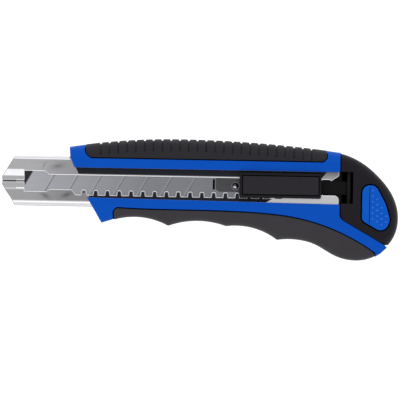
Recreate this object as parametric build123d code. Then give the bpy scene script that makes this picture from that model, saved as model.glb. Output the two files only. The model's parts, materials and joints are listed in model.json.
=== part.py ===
from build123d import *

import math
import os

# Snap-off utility knife: 18 mm blade, steel blade rail, locking slider and drawer magazine.
# Millimetres. The knife lies on its back: X runs from the nose (-) to the end cap (+), +Y is
# the spine side, +Z is the slider side. The origin is the bottom centre of the bounding box.

# ---- overall ----------------------------------------------------------------
NOSE_X = -84.0            # front end of the blade rail
TAIL_X = 84.0             # rear end of the end cap
HANDLE_T = 22.0           # handle thickness, back face at Z 0
CORE_Z = (2.0, 20.0)      # body core that the rubber grips wrap around
GROOVE_W = 0.5            # width of the shadow groove round each grip
FAR = 60.0                # reach of cutting shapes that run past the knife

# ---- blade rail -------------------------------------------------------------
RAIL_T = 0.7              # sheet thickness
RAIL_X = (NOSE_X, 58.8)
RAIL_Y = (-4.35, 16.85)
RAIL_Z = (15.3, 18.5)
RAIL_BENDS = (2.4, 1.5)   # outer bend radii of the rail's lower and upper top edges
LIP_UPPER = 8.95          # edge of the upper lip along the slider slot
LIP_LOWER = 2.9           # edge of the lower lip, which is also the tooth tips
LIP_REAR = 2.4            # edge of the lower lip behind the teeth
RAIL_FLOOR_END = 52.0     # the floor stops short of the end cap's tongue
WINDOW_X = -74.4          # front end of the wide opening over the blade tip
UPPER_EDGE = [(WINDOW_X, 10.4), (-65.7, 10.4), (-64.2, LIP_UPPER), (54.6, LIP_UPPER), (55.5, 8.4),
              (58.6, 10.5), (RAIL_X[1], 14.0)]
UPPER_EDGE_R = [0.5, 1.4, 0.8, 0.4, 0.2, 1.2]
LOWER_EDGE = [(RAIL_X[1], -2.5), (RAIL_X[1], LIP_REAR), (34.0, LIP_REAR), (33.0, LIP_LOWER),
              (-63.9, LIP_LOWER), (-65.2, 1.9), (WINDOW_X, 1.9)]
LOWER_EDGE_R = [2.0, 0.6, 0.6, 0.8, 0.8, 0.5]
TOOTH_LEAD = [(-54.4, LIP_LOWER), (-52.7, 0.75)]  # curved step ahead of the first tooth
TOOTH_LEAD_R = 0.9
SEAM_Y = 6.1              # slit where the two lips meet on the nose
SEAM_W = 0.4
NOSE_BAND = (2.5, 11.1)   # raised centre band of the nose
NOSE_SLOPE = 2.8          # width of the band's sloped upper side
NOSE_RAISE = 0.5
NOSE_STEP = 0.6           # width of the band's steep lower side
NOSE_UPPER = [(NOSE_X, 8.1), (-78.7, RAIL_Y[1])]  # chamfers of the nose
NOSE_LOWER = [(NOSE_X, 4.6), (-83.0, 2.7), (-79.9, -1.7), (-78.8, RAIL_Y[0])]
RAIL_MID = (RAIL_Y[0] + RAIL_Y[1]) / 2
RIVET_X = (-30.0, 47.0)   # rivets that hold the rail's floor to the body
RIVET_R = 1.2
RIVET_HEAD_R = 2.0
RIVET_HEAD_H = 0.35

TOOTH_COUNT = 17
TOOTH_PITCH = 5.0
TOOTH_FIRST = -49.25
TOOTH_ROOT = 0.75         # Y of the notch bottoms
TOOTH_BASE = 2.65
TOOTH_TIP = 2.0
TOOTH_CORNER = 0.4        # bevel of the tooth tips
HOME_NOTCH_ROOT = 1.35    # shallow notch that holds the slider fully back

LINER_T = 0.3             # dark strips that cover the lips inside the handle
LINER_MARGIN = (0.35, 0.6)  # bright edge left beside the lower and the upper liner
LINER_FIT = 0.05
UPPER_LINER_X = (-52.9, -51.6, 51.4, 53.6)  # slanted front and rear ends
LOWER_LINER_X = (-47.0, 28.0, 30.6)   # front end, rear end at the slot's edge and at the teeth
LINER_TOOTH = (0.8, 0.55, 0.55)      # half widths at base and tip, and how far it stops below the tooth

# ---- blade ------------------------------------------------------------------
BLADE_L = 100.0
BLADE_W = 18.0
BLADE_T = 0.5
BLADE_TIP_X = -78.6
BLADE_Y = RAIL_MID - BLADE_W / 2
BLADE_Z = 16.75
BLADE_ANGLE = 60.0        # angle of the point and of the score lines
SCORE_FIRST = 9.95
SCORE_PITCH = 10.0
SCORE_COUNT = 8
SCORE_W = 0.4
SCORE_D = 0.15
EDGE_W = 2.2              # width of the ground cutting edge
EDGE_T = 0.1              # thickness left at the cutting edge
TAIL_CUT = (4.0, 3.0)     # chamfer of the blade's tail corner
STUD_X, STUD_Y = 14.9, 5.6
HOLE_R = 2.2              # hole in the blade's tail

# ---- handle body ------------------------------------------------------------
CHANNEL_Y = (RAIL_Y[0] - 0.1, RAIL_Y[1] + 0.1)
CHANNEL_Z = (RAIL_Z[0] - 0.1, RAIL_Z[1] + 0.1)
SLOT_TOP = 12.3           # upper edge of the opening over the rail
SLOT_LOW = (-0.4, -1.4)   # its lower edge, at the front and at the rear
BODY_REAR = 59.35
FRONT_EDGE = [(-47.8, -0.4), (-53.5, 12.6), (-55.2, 16.7), (-55.7, 22.0)]
CHIN = [(-36.0, -9.2), (-41.5, -11.0)]
TAIL_END = [(78.7, -18.5), (79.5, -19.3), (76.7, -21.9)]
CHIN_ROUND = 2.0
TAIL_ROUND = 1.5
SEAM_CORNER = (59.4, -7.35)  # where the end cap's seam bends to run down the tail
SEAM_DOWN = 0.566            # fall of the lower seam for each millimetre of X
SEAM_ROUND = 3.5
SEAM_GAP = 0.05              # clearance on each side of the seam
SEAM_GROOVE = 0.32           # half width of the shadow groove along it

# ---- grips ------------------------------------------------------------------
SPINE_X = (-48.7, 53.3)
SPINE_EDGE = 16.7
SPINE_CORNERS = (3.2, 2.0)  # lower corner radii, front and rear
SPINE_ROUND = 5.0         # rounding of the spine, seen end on
BLOCK_DROP = 0.1          # the blue blocks stand this much below the grip
SPINE_APEX = (-9.0, 25.0)
SPINE_R = (274.0, 535.0)  # arc radii ahead of and behind the apex
RIB_COUNT = 24
RIB_PITCH = 3.72
RIB_FIRST = -42.4         # first groove
RIB_GAP = 0.85
RIB_DEPTH = 0.75
RIB_SIDE_DEPTH = 0.65     # depth of the grooves on the grip's two flat faces
RIB_REACH = 5.3           # how far down the faces they run
SPINE_SKIN = 2.2
FINGER_FRONT = -36.6
FINGER_EDGE = [(-34.6, -4.7), (-8.4, -5.2), (23.4, -5.8), (42.5, -8.0), (59.5, -13.5), (74.6, -22.0)]
SCALLOPS = [(-36.2, -9.6), (-26.5, -8.3), (-13.3, -11.8), (-1.5, -9.5), (11.2, -11.5),
            (20.5, -11.6), (32.9, -16.9)]
HOOK = [(32.9, -16.9), (41.0, -16.6), (49.2, -18.6), (57.6, -23.2), (66.1, -25.0), (74.6, -22.9)]
FINGER_SKIN = 1.8
FINGER_ROUND = 3.0
FINGER_CORNER = 1.8
FINGER_OVERLAP = 0.4      # how far the body reaches in behind the grip's front end

# ---- end cap ----------------------------------------------------------------
CAP_FRONT = 59.4
CAP_CURVE = [(CAP_FRONT, 20.2), (68.4, 16.4), (76.1, 10.0), (82.0, 1.8), (TAIL_X, -7.0), (80.0, -18.2)]
RECESS = (CAP_FRONT - 1, 64.7, -1.0, 12.5)
RECESS_FLOOR = 16.9
BAR_X, BAR_Z, BAR_R = 62.95, 19.4, 0.85
BAR_Y = (-1.9, 13.4)
TONGUE = (51.3, 62.0, 2.8, 8.4, 16.15, 18.2)
TONGUE_BASE = (52.4, 60.0, -2.6, 15.8, 16.15, 17.4)  # wide plate that guides the cap under the lips
BUTTON_D = [(68.6, 6.9), (74.2, 7.1), (78.5, -0.6), (80.6, -7.6), (78.2, -13.4), (68.6, -8.0)]
BUTTON_R = [3.2, 3.4, 14.0, 4.3, 3.4, 2.4]
BUTTON_GAP = 0.6
BUTTON_Z = (11.0, 22.5)
BUTTON_EDGE = 0.5
GROOVE_X = 71.8
GROOVE_Y = (-9.2, 6.2)
BUTTON_GROOVE = (0.15, 0.3)  # half width and depth of the button's groove
LATCH_X = (54.6, 56.6)    # catch at the front of the button's arm
LATCH_Y = (4.0, 8.2)
LATCH_TOP = 14.8
LATCH_ARM = 1.4
LATCH_ROOM = 0.5
DOT_START = (73.1, -12.0)
DOT_PITCH = (1.92, 2.4)
DOT_GRID = (4, 9)         # columns and rows
DOT_R = 0.5
DOT_H = 0.3
DOT_MARGIN = 1.2
BUTTON_SPRING = (74.5, -2.5, 2.6, 0.3, 6)  # X, Y, radius, wire radius, turns
CAP_ROUND = 4.5

# ---- magazine ---------------------------------------------------------------
TRAY_X = (-46.0, 66.0)
TRAY_Y = (BLADE_Y - 0.85, BLADE_Y + BLADE_W + 0.85)
TRAY_Z = (2.9, 8.8)
TRAY_FLOOR = 0.8
TRAY_WALL = 0.7
TRAY_BLOCK = 56.5         # front of the solid rear end
TRAY_SCREW_X = 62.5
TRAY_SCREW_L = 7.5
MAG_CEILING = 13.4        # underside of the web below the rail
SPARE_COUNT = 5
SPARE_TIP_X = -44.3
SPARE_Z = 5.6
RETAINER_X = (-30.0, 30.0)   # small lugs that keep the spare blades in the tray
RETAINER = (14.0, 1.2, 0.1)  # length, width, clearance over the blades
FOLLOWER_X = (-40.0, 50.0)
FOLLOWER_T = 0.9
FOLLOWER_MARGIN = 0.3
BOW_X = (-28.0, 38.0)        # bowed leaf spring under the follower
BOW_Y = (1.5, 11.0)
BOW_T = 0.25
BOW_FIT = 0.05

# ---- back cover and screws --------------------------------------------------
COVER_T = 2.6
COVER_X = (-47.0, BODY_REAR)
COVER_Y = (-4.4, 16.4)
COVER_EARS = [(-52.2, -46.0, 10.8, 16.2), (-42.8, -37.4, -9.6, -4.0), (53.9, BODY_REAR, 16.0, 20.0),
              (52.2, BODY_REAR, -9.4, -4.0)]
COVER_SCREWS = [(-49.5, 13.4), (-40.1, -6.9), (56.5, 17.6), (55.7, -6.7)]
SCREW_R = 1.1
HEAD_R = 2.0
HEAD_H = 1.3
SCREW_L = 9.0
CROSS = (1.3, 0.3, 0.6)   # half length, half width and depth of the screws' cross recess

# ---- slider -----------------------------------------------------------------
SLIDER_X = (16.6, 51.2)
SLIDER_Y = (0.85, 11.3)
SLIDER_Z = (18.95, 23.7)
POCKET = (17.6, 50.5, 1.9, 10.4)
POCKET_FLOOR = 20.2
POCKET_MID = (POCKET[2] + POCKET[3]) / 2
SLIDER_CORNER = 0.8
SLIDER_EDGE = 0.4
PAD_GAP = 0.45
PAD_Z = (21.6, 24.2)
PAD_TRAVEL = 1.2
PAD_EDGE = 0.3
PAD_SKIN = 0.8            # plastic left over the springs
STEM = (33.0, 1.3, 0.2)   # X, radius and clearance of the thumb button's stem
SPRING_X = (24.0, 44.0)
SPRING = (1.4, 0.2, 4)    # radius, wire radius and turns of the thumb button's springs
SPRING_ROOM = 2.0
NECK = (19.0, 40.0, 4.5, 8.7)
STAKE_X = (26.0, 38.0)    # plastic stakes that hold the carrier
STAKE_Y = (NECK[2] + NECK[3]) / 2
STAKE_R = 0.9
STAKE_H = 0.4
CARRIER_Z = (17.25, 17.65)
CARRIER_X = (3.2, 40.5)   # steel plate that runs under the lips
CARRIER_Y = (-1.5, 14.0)
CARRIER_SLOT = (5.3, 6.2, 4.0, 8.3)
CLAMP = [(6.6, 8.8), (17.6, 8.8), (17.6, 3.1), (8.0, 3.1), (6.6, 4.1)]
CLAMP_T = 0.45
CLAMP_HOLE = 1.75         # clears the stud
STUD_R = (1.9, 0.9, 1.6)  # flange, shank and dome
STUD_SINK = 0.5           # how far the dome's centre lies below the carrier's face
LOCK_X = TOOTH_FIRST + 15.5 * TOOTH_PITCH
LOCK_NOSE = (1.35, 0.85, 1.6)   # half widths at root and tip, and the tip's Y
LEAF_X = (22.5, 36.5)
LEAF_Y = (3.4, 3.8)
LEAF_Z = (17.85, 18.45)
LEAF_ANCHOR = (35.6, 4.5)       # front end and far side of the anchored end

parts = {}


def block(x0, x1, y0, y1, z0, z1):
    """Box between the given limits."""
    return Pos((x0 + x1) / 2, (y0 + y1) / 2, (z0 + z1) / 2) * Box(x1 - x0, y1 - y0, z1 - z0)


def post(x, y, r, z0, z1):
    """Round post standing along Z."""
    return Pos(x, y, (z0 + z1) / 2) * Cylinder(r, z1 - z0)


def plate(face, z0, z1):
    """Flat outline raised from z0 to z1."""
    return Pos(0, 0, z0) * extrude(face, z1 - z0)


def rectangle(x0, x1, y0, y1):
    """Flat rectangle between the given limits."""
    return make_face(Polyline((x0, y0), (x1, y0), (x1, y1), (x0, y1), close=True))


def helix(x, y, z0, z1, radius, wire, turns):
    """Round-wire coil spring standing along Z."""
    pitch = (z1 - z0 - 2 * wire) / turns
    path = Pos(x, y, z0 + wire) * Helix(pitch, pitch * turns, radius)
    section = Plane(origin=path @ 0, z_dir=path % 0) * Circle(wire)
    return sweep(section, path=path, is_frenet=True)


def spine_y(x):
    """Height of the spine grip's top line."""
    radius = SPINE_R[0] if x < SPINE_APEX[0] else SPINE_R[1]
    reach = x - SPINE_APEX[0]
    return SPINE_APEX[1] - radius + math.sqrt(radius**2 - reach**2)


def skins(face):
    """Flat outline raised through the two outer skins, clear of the core between them."""
    return plate(face, -1, CORE_Z[0]) + plate(face, CORE_Z[1], HANDLE_T + 1)


def top_edges(solid, z):
    """Edges of the flat face at height z, for rounding."""
    return solid.edges().filter_by_position(Axis.Z, z - 0.01, z + 0.01)


def rim_edges(solid, keep, inset=0.0):
    """Edges of the front and back faces whose centre passes the test."""
    rims = top_edges(solid, inset) + top_edges(solid, HANDLE_T - inset)
    return [edge for edge in rims if keep(edge.center().X, edge.center().Y)]


def under_spine(front, rear, floor, drop=0.0):
    """Flat region below the spine line, lowered by drop."""
    middle = SPINE_APEX[0]
    arcs = [
        ThreePointArc(*[(x, spine_y(x) - drop) for x in (x0, (x0 + x1) / 2, x1)])
        for x0, x1 in ((front, middle), (middle, rear))
    ]
    top_front = (front, spine_y(front) - drop)
    top_rear = (rear, spine_y(rear) - drop)
    return make_face(arcs + [Polyline(top_rear, (rear, floor), (front, floor), top_front)])


def crown(drop=0.0, inset=0.0):
    """Solid below the spine line with the spine's rounded edges; inset moves its flat faces inwards."""
    solid = plate(under_spine(NOSE_X, TAIL_X, -FAR, drop), inset, HANDLE_T - inset)
    return fillet(rim_edges(solid, lambda x, y: y > SPINE_EDGE, inset), SPINE_ROUND - inset)


def spine_region():
    region = under_spine(*SPINE_X, SPINE_EDGE)
    low = region.vertices().filter_by_position(Axis.Y, SPINE_EDGE - 0.1, SPINE_EDGE + 0.1)
    for corner, radius in zip(low.sort_by(Axis.X), SPINE_CORNERS):
        region = fillet(region.vertices().sort_by_distance(corner)[0], radius)
    return region


def finger_region():
    edges = [Spline(*FINGER_EDGE), Line(FINGER_EDGE[-1], HOOK[-1]), Spline(*HOOK)]
    for start in (0, 2, 4):
        edges.append(ThreePointArc(*SCALLOPS[start:start + 3]))
    corner = (FINGER_FRONT, FINGER_EDGE[0][1])
    edges.append(FilletPolyline(FINGER_EDGE[0], corner, SCALLOPS[0], radius=FINGER_CORNER))
    return make_face(edges)


def ahead_of_seam(shift):
    """Flat region on the body's side of the end cap's seam, with the seam moved back by shift."""
    corner = (SEAM_CORNER[0] + shift, SEAM_CORNER[1])
    top = (corner[0], FAR)
    low = (corner[0] + FAR, corner[1] - FAR * SEAM_DOWN)
    outside = Polyline(low, (low[0], -2 * FAR), (-2 * FAR, -2 * FAR), (-2 * FAR, FAR), top)
    return make_face([FilletPolyline(top, corner, low, radius=SEAM_ROUND), outside])


def seam_groove():
    """Shadow groove along the end cap's seam, cut from both of its sides."""
    return skins(ahead_of_seam(SEAM_GROOVE) - ahead_of_seam(-SEAM_GROOVE))


def body_region(spine, finger):
    """Blue outline seen from the front: everything between the two rubber grips."""
    under = 1.2
    behind_finger_grip = [(x, y - under) for x, y in reversed(FINGER_EDGE)]
    front_top = (FRONT_EDGE[-1][0], SPINE_APEX[1] + 1)
    rear_top = (BODY_REAR, SPINE_APEX[1] + 1)
    outline = make_face(Polyline(
        *CHIN, *FRONT_EDGE, front_top, rear_top, (BODY_REAR, 0.0), (TAIL_END[0][0], 0.0), *TAIL_END,
        *behind_finger_grip, (FINGER_FRONT + FINGER_OVERLAP, FINGER_EDGE[0][1] - under), close=True,
    ))
    return (outline & ahead_of_seam(-SEAM_GAP)) - spine - finger


def slot_region():
    """Opening between the blue bands, over the rail."""
    low_front, low_rear = SLOT_LOW
    ahead = FRONT_EDGE[-1][0] - 5
    behind = BODY_REAR + 1
    return make_face(Polyline((ahead, SLOT_TOP), (behind, SLOT_TOP), (behind, low_rear),
                              (FRONT_EDGE[0][0] - 1, low_front), (ahead, low_front), close=True))


def cover_region(clearance):
    region = rectangle(COVER_X[0] - clearance, COVER_X[1], COVER_Y[0] - clearance, COVER_Y[1] + clearance)
    for x0, x1, y0, y1 in COVER_EARS:
        rear = min(x1 + clearance, BODY_REAR)
        region += rectangle(x0 - clearance, rear, y0 - clearance, y1 + clearance)
    return region


def screw(x, y, length):
    """Cross-head countersunk screw driven in from the back face."""
    head = Pos(x, y, HEAD_H / 2) * Cone(HEAD_R, SCREW_R, HEAD_H)
    shank = post(x, y, SCREW_R, HEAD_H, length)
    long, wide, deep = CROSS
    recess = block(x - long, x + long, y - wide, y + wide, -1, deep)
    recess += block(x - wide, x + wide, y - long, y + long, -1, deep)
    return head + shank - recess


def screw_hole(x, y, depth):
    return Pos(x, y, HEAD_H / 2) * Cone(HEAD_R, SCREW_R, HEAD_H) + post(x, y, SCREW_R, 0, depth)


def handle():
    spine, finger = spine_region(), finger_region()
    spine_core = plate(spine & Pos(0, -SPINE_SKIN) * spine, *CORE_Z)
    finger_core = plate(finger & Pos(0, FINGER_SKIN) * finger, *CORE_Z)

    body = plate(body_region(spine, finger), 0, HANDLE_T)
    chin_front, chin_rear = CHIN[1][0] - 2, CHIN[0][0] - 0.6
    body = fillet(rim_edges(body, lambda x, y: chin_front < x < chin_rear and y < CHIN[0][1]), CHIN_ROUND)
    tail_front = TAIL_END[-1][0] - 1.4
    body = fillet(rim_edges(body, lambda x, y: x > tail_front and y < TAIL_END[1][1]), TAIL_ROUND)
    body = (body & crown(BLOCK_DROP)) + spine_core + finger_core
    for shift in ((0, -GROOVE_W), (-GROOVE_W, 0), (GROOVE_W, 0)):
        body -= skins(Pos(*shift) * spine)
    for shift in ((0, GROOVE_W), (-GROOVE_W, 0)):
        body -= skins(Pos(*shift) * finger)
    body -= seam_groove()

    behind = BODY_REAR + 1
    body -= block(FRONT_EDGE[-1][0] - 5, behind, *CHANNEL_Y, *CHANNEL_Z)
    body -= plate(slot_region(), CHANNEL_Z[1] - 0.1, HANDLE_T + 1)
    body -= block(TRAY_X[0] - 0.5, behind, TRAY_Y[0] - 0.2, TRAY_Y[1] + 0.2, 0, MAG_CEILING)
    body -= plate(cover_region(0.1), -1, COVER_T)
    web = (MAG_CEILING - 1, CHANNEL_Z[0] + 1)
    body -= block(LATCH_X[0] - LATCH_ROOM, behind, LATCH_Y[0] - LATCH_ROOM, LATCH_Y[1] + LATCH_ROOM, *web)
    for x, y in COVER_SCREWS:
        body -= post(x, y, SCREW_R, COVER_T - 1, SCREW_L)
    for x in RIVET_X:
        body -= post(x, RAIL_MID, RIVET_R, *web)
    parts["body_shell"] = body

    cover = plate(cover_region(0), 0, COVER_T)
    for x, y in COVER_SCREWS:
        cover -= screw_hole(x, y, COVER_T)
    parts["back_cover"] = cover
    parts["cover_screws"] = Compound([screw(x, y, SCREW_L) for x, y in COVER_SCREWS])

    spine_grip = (plate(spine, 0, HANDLE_T) & crown()) - spine_core
    groove_floor = crown(RIB_DEPTH, RIB_SIDE_DEPTH)
    for index in range(RIB_COUNT + 1):
        x = RIB_FIRST + index * RIB_PITCH
        slab = block(x - RIB_GAP / 2, x + RIB_GAP / 2, spine_y(x) - RIB_REACH, FAR, -1, HANDLE_T + 1)
        spine_grip -= slab - groove_floor
    parts["spine_grip"] = spine_grip
    finger_grip = plate(finger, 0, HANDLE_T)
    underside = rim_edges(finger_grip, lambda x, y: y < SCALLOPS[1][1] + 0.3)
    curved = [edge for edge in underside if edge.geom_type != GeomType.LINE]
    parts["finger_grip"] = fillet(curved, FINGER_ROUND) - finger_core


def rail_section():
    """Folded sheet seen end on."""
    y0, y1 = RAIL_Y
    z0, z1 = RAIL_Z
    outer = rectangle(y0, y1, z0, z1)
    inner = rectangle(y0 + RAIL_T, y1 - RAIL_T, z0 + RAIL_T, z1 - RAIL_T)
    for y, bend in zip(RAIL_Y, RAIL_BENDS):
        outer = fillet(outer.vertices().sort_by_distance((y, z1, 0))[0], bend)
        inner = fillet(inner.vertices().sort_by_distance((y, z1, 0))[0], bend - RAIL_T)
    return outer - inner


def raised_band():
    """Section of the band that stands up over the blade point."""
    low, high = NOSE_BAND
    top = RAIL_Z[1]
    under = top - RAIL_T
    slope_top = high - NOSE_SLOPE
    return make_face(Polyline(
        (low, top), (low + NOSE_STEP, top + NOSE_RAISE), (slope_top, top + NOSE_RAISE), (high, top),
        (high, under), (slope_top, under + NOSE_RAISE), (low + RAIL_T + NOSE_STEP, under + NOSE_RAISE),
        (low + RAIL_T, under), (low, under), close=True,
    ))


def lip_opening():
    """Opening between the two lips: the window over the blade point and the slider's slot."""
    past = RAIL_X[1] + 1
    upper = FilletPolyline(*UPPER_EDGE[:-1], (past, UPPER_EDGE[-1][1]), radius=UPPER_EDGE_R[1:])
    lower = FilletPolyline((past, LOWER_EDGE[0][1]), *LOWER_EDGE, radius=[0.1] + LOWER_EDGE_R[:-1])
    ends = [Line(upper @ 1, lower @ 0), Line(lower @ 1, upper @ 0)]
    return make_face([upper, lower] + ends)


def rail():
    y0, y1 = RAIL_Y
    z0, z1 = RAIL_Z
    under = z1 - RAIL_T
    over = (under - 0.1, z1 + 2)
    shell = Pos(RAIL_X[0], 0, 0) * extrude(Plane.YZ * rail_section(), RAIL_X[1] - RAIL_X[0])
    shell -= block(NOSE_X - 1, WINDOW_X, NOSE_BAND[0] + RAIL_T, NOSE_BAND[1], under, z1 + 1)
    shell += Pos(NOSE_X, 0, 0) * extrude(Plane.YZ * raised_band(), WINDOW_X - NOSE_X)
    shell -= block(NOSE_X - 1, WINDOW_X + 1, SEAM_Y - SEAM_W / 2, SEAM_Y + SEAM_W / 2, under, z1 + 2)
    shell -= plate(lip_opening(), *over)

    # teeth along the lower lip
    notch_mouth = TOOTH_PITCH - TOOTH_TIP
    notch_floor = TOOTH_PITCH - TOOTH_BASE
    middle = TOOTH_FIRST - TOOTH_PITCH / 2
    rear_flank = [(middle + notch_floor / 2, TOOTH_ROOT), (middle + notch_mouth / 2, LIP_LOWER)]
    lead = FilletPolyline(*TOOTH_LEAD, *rear_flank, radius=[TOOTH_LEAD_R, 0.2])
    shell -= plate(make_face([lead, Line(rear_flank[-1], TOOTH_LEAD[0])]), *over)
    for index in range(TOOTH_COUNT):
        x = middle + (index + 1) * TOOTH_PITCH
        shell -= plate(notch(x, notch_floor, notch_mouth, TOOTH_ROOT), *over)
    home_x = middle + (TOOTH_COUNT + 1) * TOOTH_PITCH
    shell -= plate(notch(home_x, notch_floor, notch_mouth, HOME_NOTCH_ROOT), *over)

    for chamfer, side in ((NOSE_UPPER, 1), (NOSE_LOWER, -1)):
        shoulder = chamfer[-1]
        corner = make_face(Polyline((NOSE_X - 1, chamfer[0][1]), *chamfer, (shoulder[0], shoulder[1] + side),
                                    (NOSE_X - 1, shoulder[1] + side), close=True))
        shell -= plate(corner, z0 - 1, z1 + 2)
    shell -= block(RAIL_FLOOR_END, RAIL_X[1] + 1, y0 + RAIL_T, y1 - RAIL_T, z0 - 1, z0 + RAIL_T + 0.1)
    for x in RIVET_X:
        shell -= post(x, RAIL_MID, RIVET_R, z0 - 1, z0 + RAIL_T + 0.1)
    parts["blade_rail"] = shell

    floor = z0 + RAIL_T
    rivets = []
    for x in RIVET_X:
        shank = post(x, RAIL_MID, RIVET_R, MAG_CEILING, floor)
        rivets.append(shank + post(x, RAIL_MID, RIVET_HEAD_R, floor, floor + RIVET_HEAD_H))
    parts["rail_rivets"] = Compound(rivets)


def notch(x, floor, mouth, root):
    """Gap between two teeth of the lower lip, widening where their tips are bevelled."""
    low, high = LIP_LOWER - TOOTH_CORNER, LIP_LOWER + 0.01
    half, bevelled = mouth / 2, mouth / 2 + TOOTH_CORNER
    return make_face(Polyline((x - floor / 2, root), (x + floor / 2, root), (x + half, low), (x + bevelled, high),
                              (x - bevelled, high), (x - half, low), close=True))


def lip_liners():
    z = (RAIL_Z[1], RAIL_Z[1] + LINER_T)
    front_high, front_low, rear_low, rear_high = UPPER_LINER_X
    low, high = LIP_UPPER + LINER_MARGIN[1], SLOT_TOP - LINER_FIT
    strip = make_face(Polyline((front_high, high), (front_low, low), (rear_low, low), (rear_high, high),
                               close=True))
    parts["lip_liner_upper"] = plate(strip, *z)

    front, rear_low, rear_high = LOWER_LINER_X
    fall = (SLOT_LOW[1] - SLOT_LOW[0]) / (BODY_REAR - FRONT_EDGE[0][0])
    edge = SLOT_LOW[0] + LINER_FIT
    root = TOOTH_ROOT - LINER_MARGIN[0]
    strip = make_face(Polyline((front, edge), (rear_low, edge + fall * (rear_low - front)), (rear_high, root),
                               (front, root), close=True))
    base, tip, short = LINER_TOOTH
    for index in range(1, TOOTH_COUNT - 1):
        x = TOOTH_FIRST + index * TOOTH_PITCH
        top = LIP_LOWER - short
        strip += make_face(Polyline((x - base, root - 0.1), (x + base, root - 0.1), (x + tip, top),
                                    (x - tip, top), close=True))
    parts["lip_liner_lower"] = plate(strip, *z)


def blade_blank():
    """Blade with its point at X 0, its cutting edge at Y 0 and its face at Z 0."""
    lean = BLADE_W / math.tan(math.radians(BLADE_ANGLE))
    cut_x, cut_y = TAIL_CUT
    outline = make_face(Polyline((0, 0), (BLADE_L - cut_x, 0), (BLADE_L, cut_y), (BLADE_L, BLADE_W),
                                 (lean, BLADE_W), close=True))
    blank = extrude(outline, BLADE_T)
    blank -= post(STUD_X - BLADE_TIP_X, STUD_Y - BLADE_Y, HOLE_R, -1, 1)
    run = 1 / math.tan(math.radians(BLADE_ANGLE))
    for index in range(SCORE_COUNT):
        x = SCORE_FIRST + index * SCORE_PITCH
        low, high = x - run, x + lean + run
        score = make_face(Polyline((low, -1), (low + SCORE_W, -1), (high + SCORE_W, BLADE_W + 1),
                                   (high, BLADE_W + 1), close=True))
        blank -= plate(score, BLADE_T - SCORE_D, BLADE_T + 1)
    for z, side in ((0, -1), (BLADE_T, 1)):
        thin = z - side * (BLADE_T - EDGE_T) / 2
        wedge = Plane.YZ * make_face(Polyline((-1, thin), (0, thin), (EDGE_W, z), (EDGE_W, z + side),
                                              (-1, z + side), close=True))
        blank -= Pos(-1, 0, 0) * extrude(wedge, BLADE_L + 2)
    return blank


def blades():
    blank = blade_blank()
    parts["blade"] = Pos(BLADE_TIP_X, BLADE_Y, BLADE_Z) * blank
    for index in range(SPARE_COUNT):
        z = SPARE_Z + index * BLADE_T
        parts[f"spare_blade_{index + 1}"] = Pos(SPARE_TIP_X, BLADE_Y, z) * blank


def slider():
    stem_x, stem_r, stem_fit = STEM
    base = block(*SLIDER_X, *SLIDER_Y, *SLIDER_Z)
    base = fillet(base.edges().filter_by(Axis.Z), SLIDER_CORNER)
    base = fillet(top_edges(base, SLIDER_Z[1]), SLIDER_EDGE)
    base -= block(*POCKET, POCKET_FLOOR, SLIDER_Z[1] + 1)
    base += block(*NECK, CARRIER_Z[1], SLIDER_Z[0])
    base -= post(stem_x, POCKET_MID, stem_r + stem_fit, CARRIER_Z[1] - 1, POCKET_FLOOR + 1)
    for x in STAKE_X:
        base += post(x, STAKE_Y, STAKE_R, CARRIER_Z[0] - STAKE_H, CARRIER_Z[1])
    parts["slider_base"] = base

    x0, x1, y0, y1 = POCKET
    pad = block(x0 + PAD_GAP, x1 - PAD_GAP, y0 + PAD_GAP, y1 - PAD_GAP, *PAD_Z)
    pad = fillet(top_edges(pad, PAD_Z[1]), PAD_EDGE)
    pad += post(stem_x, POCKET_MID, stem_r, CARRIER_Z[1] + PAD_TRAVEL + stem_fit, PAD_Z[0])
    spring_top = PAD_Z[1] - PAD_SKIN
    for x in SPRING_X:
        pad -= post(x, POCKET_MID, SPRING_ROOM, PAD_Z[0] - 1, spring_top)
    parts["thumb_button"] = pad
    springs = [helix(x, POCKET_MID, POCKET_FLOOR, spring_top, *SPRING) for x in SPRING_X]
    parts["button_springs"] = Compound(springs)
    carrier()


def carrier():
    """Steel tongue that pushes the blade, with what is fixed to it."""
    z0, z1 = CARRIER_Z
    through = (z0 - 1, z1 + 1)
    flange_r, shank_r, dome_r = STUD_R
    tongue = block(*CARRIER_X, *CARRIER_Y, z0, z1)
    tongue -= block(*CARRIER_SLOT, *through)
    tongue -= post(STUD_X, STUD_Y, shank_r, *through)
    for x in STAKE_X:
        tongue -= post(x, STAKE_Y, STAKE_R, *through)
    parts["blade_carrier"] = tongue
    clamp = plate(make_face(Polyline(*CLAMP, close=True)), z1, z1 + CLAMP_T)
    parts["clamp_plate"] = clamp - post(STUD_X, STUD_Y, CLAMP_HOLE, z1 - 1, z1 + CLAMP_T + 1)

    stud = post(STUD_X, STUD_Y, flange_r, BLADE_Z + 0.05, z0) + post(STUD_X, STUD_Y, shank_r, z0, z1)
    ball = Pos(STUD_X, STUD_Y, z1 - STUD_SINK) * Sphere(dome_r)
    parts["blade_stud"] = stud + (ball & post(STUD_X, STUD_Y, flange_r, z1, z1 + dome_r))

    root, tip, tip_y = LOCK_NOSE
    leaf_low, leaf_high = LEAF_Y
    leaf = make_face(Polyline(
        (LEAF_X[0], leaf_low), (LOCK_X - root, leaf_low), (LOCK_X - tip, tip_y), (LOCK_X + tip, tip_y),
        (LOCK_X + root, leaf_low), (LEAF_X[1], leaf_low), (LEAF_X[1], leaf_high), (LEAF_X[0], leaf_high),
        close=True,
    ))
    anchor_x, anchor_y = LEAF_ANCHOR
    parts["lock_spring"] = plate(leaf, *LEAF_Z) + block(anchor_x, LEAF_X[1], leaf_low, anchor_y, *LEAF_Z)


def button_outline():
    return make_face(FilletPolyline(*BUTTON_D, radius=BUTTON_R, close=True))


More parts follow.
